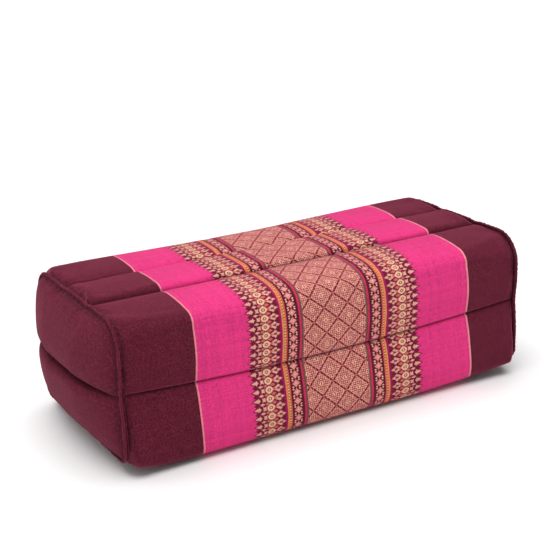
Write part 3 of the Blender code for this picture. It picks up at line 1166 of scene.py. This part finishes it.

# %% [markdown]
# The finished cloth puts these together. Colour comes from the bands, with shade painted
# in a little between the threads and in the seams, and a painted highlight on the crest of
# each seam ridge. The surface is matt cotton with a soft sheen at grazing angles, and the
# raised yarns are a touch silkier than the ground.
#
# Real cloth is never sewn on quite straight. The pattern sits a little right of the
# middle, its lattice slants, the right side's motifs are out of step with the left, and
# a strip of the lattice is lost in the front crease. Named values hold each of these.
# Places are read in steps of about half a thread, which gives motifs a woven edge.

# %% Cloth materials
UNEVEN_STRETCH = 0.00032
PATTERN_SIDE = 1.3
THREAD = 0.75
PLAIN_WEAVE = 2.0
BASE_SHADE = 0.38
YARN_SHADE = 0.32
THREAD_SHADE = 0.36
PATCH_SHADE = 0.26
GROOVE_SHADE = 0.6
GRAIN = 1.6
PINK_GRAIN = 0.65
FUZZ = 0.05
FUZZ_CONTRAST = 4.0
FUZZ_COLOUR = srgb(232, 120, 150)
WEAVE_RELIEF = 0.14
PUCKER_RELIEF = 1.6
BROCADE_RELIEF = 0.13
WRAP_ROUGHNESS = 0.86
BROCADE_SILKINESS = 0.14
END_ROUGHNESS = 0.9
THREAD_SILKINESS = 0.08
COTTON_GLOSS = 0.12
SHEEN_TINT = (2.0, 0.36, 0.68, 1.0)
SHEEN_ROUGHNESS = 0.28
WRAP_SHEEN = 0.5
END_SHEEN = 0.15
MOTIF_STEP = 0.35
LATTICE_SLANT = 0.07
LATTICE_FOLD = 4.2
RIGHT_SHIFT = 3.35


def cloth_places(tree):
    """Millimetres across and along the flat cloth, and the place in space."""
    layer = tree.nodes.new("ShaderNodeUVMap")
    layer.uv_map = "Cloth"
    parts = tree.nodes.new("ShaderNodeSeparateXYZ")
    tree.links.new(layer.outputs[0], parts.inputs[0])
    place = tree.nodes.new("ShaderNodeTexCoord")
    across = Wire(tree, parts.outputs[0]) * 1000.0
    along = Wire(tree, parts.outputs[1]) * 1000.0
    return across, along, Wire(tree, place.outputs["Object"])


def cloth_shader(material, colour, height, roughness, sheen):
    """Put colour, bump and sheen on a material's Principled shader."""
    tree = material.node_tree
    shader = tree.nodes["Principled BSDF"]
    bump = tree.nodes.new("ShaderNodeBump")
    bump.inputs["Strength"].default_value = 1.0
    bump.inputs["Distance"].default_value = 0.001
    plug(tree, height, bump.inputs["Height"])
    tree.links.new(bump.outputs[0], shader.inputs["Normal"])
    plug(tree, colour, shader.inputs["Base Color"])
    plug(tree, roughness, shader.inputs["Roughness"])
    shader.inputs["Specular IOR Level"].default_value = COTTON_GLOSS
    shader.inputs["Sheen Weight"].default_value = sheen
    shader.inputs["Sheen Roughness"].default_value = SHEEN_ROUGHNESS
    shader.inputs["Sheen Tint"].default_value = SHEEN_TINT


def new_material(name):
    material = bpy.data.materials.new(name)
    material.use_nodes = True
    return material


def stored(tree, name):
    """The number that each point of the mesh stores under a name."""
    node = tree.nodes.new("ShaderNodeAttribute")
    node.attribute_name = name
    return Wire(tree, node.outputs["Fac"])


def worn_and_shaded(tree, threads, place, grain):
    """How bright the cloth is: threads, random wear and grain, with painted shade between the
    threads and in the seams; its fuzz, and its puckers.
    """
    wear = handling.use(tree, Place=place)
    # painted shade: the cloth is darker in the hollows between the thread ridges
    even = threads["Shade"] * YARN_SHADE + threads["Height"] * THREAD_SHADE + BASE_SHADE
    even = even + wear["Patches"] * PATCH_SHADE + (wear["Grain"] - 0.5) * grain
    fuzz = number(tree, "MAXIMUM", (wear["Grain"] - 0.5) * FUZZ_CONTRAST, 0.0) * FUZZ
    puckers = stored(tree, "Pull") * wear["Puckers"] * PUCKER_RELIEF
    # painted shade from the stored marks: darker in seams, sewn lines and the panels' crease,
    # lighter on a seam ridge's crest
    return even * (1.0 - stored(tree, "PaintedShade") * GROOVE_SHADE), fuzz, puckers


def shaded(tree, colour, tone, fuzz):
    """A yarn colour scaled by the tone, which holds wear and painted shade, with fuzz mixed over
    it.
    """
    shade = tree.nodes.new("ShaderNodeVectorMath")
    shade.operation = "SCALE"
    plug(tree, colour, shade.inputs[0])
    plug(tree, tone, shade.inputs["Scale"])
    return mixed(fuzz, Wire(tree, shade.outputs[0]), FUZZ_COLOUR)


def wrap_cloth():
    material = new_material("wrap cloth")
    tree = material.node_tree
    across, along, place = cloth_places(tree)
    level = across - across * across * UNEVEN_STRETCH - PATTERN_SIDE
    distance = number(tree, "SNAP", abs(level) + MOTIF_STEP / 2, MOTIF_STEP)
    slanted = number(tree, "SNAP", level + along * LATTICE_SLANT, MOTIF_STEP)
    unfolded = number(tree, "SNAP", along + along.below(0.0) * LATTICE_FOLD, MOTIF_STEP)
    repeat = number(tree, "SNAP", along - level.above(0.0) * RIGHT_SHIFT, MOTIF_STEP)
    result = stripes.use(tree, Distance=distance, Along=repeat)
    for band in (finials, stars):
        result = band.use(tree, Distance=distance, Along=repeat, **result)
    result = lattice.use(tree, Distance=distance, Along=unfolded, Across=slanted, **result)
    threads = weave.use(tree, Across=across, Along=along, Thread=THREAD, Repeat=PLAIN_WEAVE)
    grain = distance.above(BURGUNDY_START) * (GRAIN - PINK_GRAIN) + PINK_GRAIN
    tone, fuzz, puckers = worn_and_shaded(tree, threads, place, grain)
    colour = shaded(tree, result["Colour"], tone, fuzz)
    height = threads["Height"] * WEAVE_RELIEF + result["Relief"] * BROCADE_RELIEF + puckers
    roughness = WRAP_ROUGHNESS - result["Relief"] * BROCADE_SILKINESS
    cloth_shader(material, colour, height, roughness, WRAP_SHEEN)
    return material


def end_cloth():
    material = new_material("end cloth")
    tree = material.node_tree
    across, along, place = cloth_places(tree)
    threads = weave.use(tree, Across=across, Along=along, Thread=THREAD, Repeat=PLAIN_WEAVE)
    tone, fuzz, puckers = worn_and_shaded(tree, threads, place, GRAIN)
    colour = shaded(tree, END_BURGUNDY[:3], tone, fuzz)
    height = threads["Height"] * WEAVE_RELIEF + puckers
    roughness = END_ROUGHNESS - threads["Height"] * THREAD_SILKINESS
    cloth_shader(material, colour, height, roughness, END_SHEEN)
    return material


wrap_piece.data.materials.append(wrap_cloth())
end_material = end_cloth()
for piece in (*panels.values(), *seams.values()):
    piece.data.materials.append(end_material)
print("materials:", [material.name for material in bpy.data.materials])

# %% [markdown]
# One round of subdivision turns the facets of the wrap and panels into smooth curves. It
# comes last, as a modifier, so that the simulation had a light mesh to work on. The
# ridges are fine enough already.

# %% Smooth the wrap and the panels
for piece in (wrap_piece, *panels.values()):
    smooth = piece.modifiers.new("smooth", "SUBSURF")
    smooth.levels = 1
    smooth.render_levels = 1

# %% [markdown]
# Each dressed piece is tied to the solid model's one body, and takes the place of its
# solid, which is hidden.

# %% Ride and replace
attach(wrap_piece, "root")
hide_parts("cushion_body")
for word in ("left", "right"):
    for piece, node in ((panels[word], "end_panel_"), (seams[word], "seam_ridge_")):
        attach(piece, "root")
        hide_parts(node + word)
    panels[word]
print("dressed pieces:", [wrap_piece.name, *(p.name for p in (*panels.values(), *seams.values()))])

# %% [markdown]
# A product picture like this one is taken on pale paper under large soft lamps. Wide
# suns stand in for the lamps: one overhead makes the top the brightest side, those behind
# and at the left model the ends, and a faint one in front opens the shadow under it. The
# floor is a plain sheet that catches the soft shadow.

# %% Floor and light
FLOOR_SIZE = 12.0
PAPER_SHADE = (0.91, 0.91, 0.91, 1.0)
PAPER_ROUGHNESS = 0.9
SKY_STRENGTH = 0.20
LIGHTS = (
    # name, where it shines from, strength, spread in degrees
    ("overhead", (-0.03, -0.03, 1.0), 2.8, 66.0),
    ("back", (0.30, 1.0, 0.50), 0.65, 90.0),
    ("left", (-1.0, -0.10, 0.60), 0.95, 100.0),
    ("front", (-0.30, -1.0, 0.30), 0.05, 100.0),
)


def build_floor():
    half = FLOOR_SIZE / 2
    points = [(-half, -half, 0), (half, -half, 0), (half, half, 0), (-half, half, 0)]
    faces = np.array([[0, 1, 2, 3]])
    floor = new_piece("floor", [np.array(points)], [(faces, np.zeros((1, 4, 2)), False)])
    paper = new_material("paper")
    shader = paper.node_tree.nodes["Principled BSDF"]
    shader.inputs["Base Color"].default_value = PAPER_SHADE
    shader.inputs["Roughness"].default_value = PAPER_ROUGHNESS
    floor.data.materials.append(paper)
    return floor


def soft_sun(name, aim_from, strength, spread):
    """A light from one side of the sky, as wide as a big softbox."""
    data = bpy.data.lights.new(name, "SUN")
    data.energy = strength
    data.angle = math.radians(spread)
    light = bpy.data.objects.new(name, data)
    light.rotation_euler = Vector(aim_from).to_track_quat("Z", "Y").to_euler()
    bpy.context.scene.collection.objects.link(light)
    return light


build_floor()
for light in LIGHTS:
    soft_sun(*light)
world = bpy.data.worlds.new("studio")
bpy.context.scene.world = world
world.use_nodes = True
world.node_tree.nodes["Background"].inputs["Color"].default_value = (1, 1, 1, 1)
world.node_tree.nodes["Background"].inputs["Strength"].default_value = SKY_STRENGTH
bpy.context.scene.view_settings.view_transform = "Standard"
print("lights:", [light.name for light in bpy.data.lights])
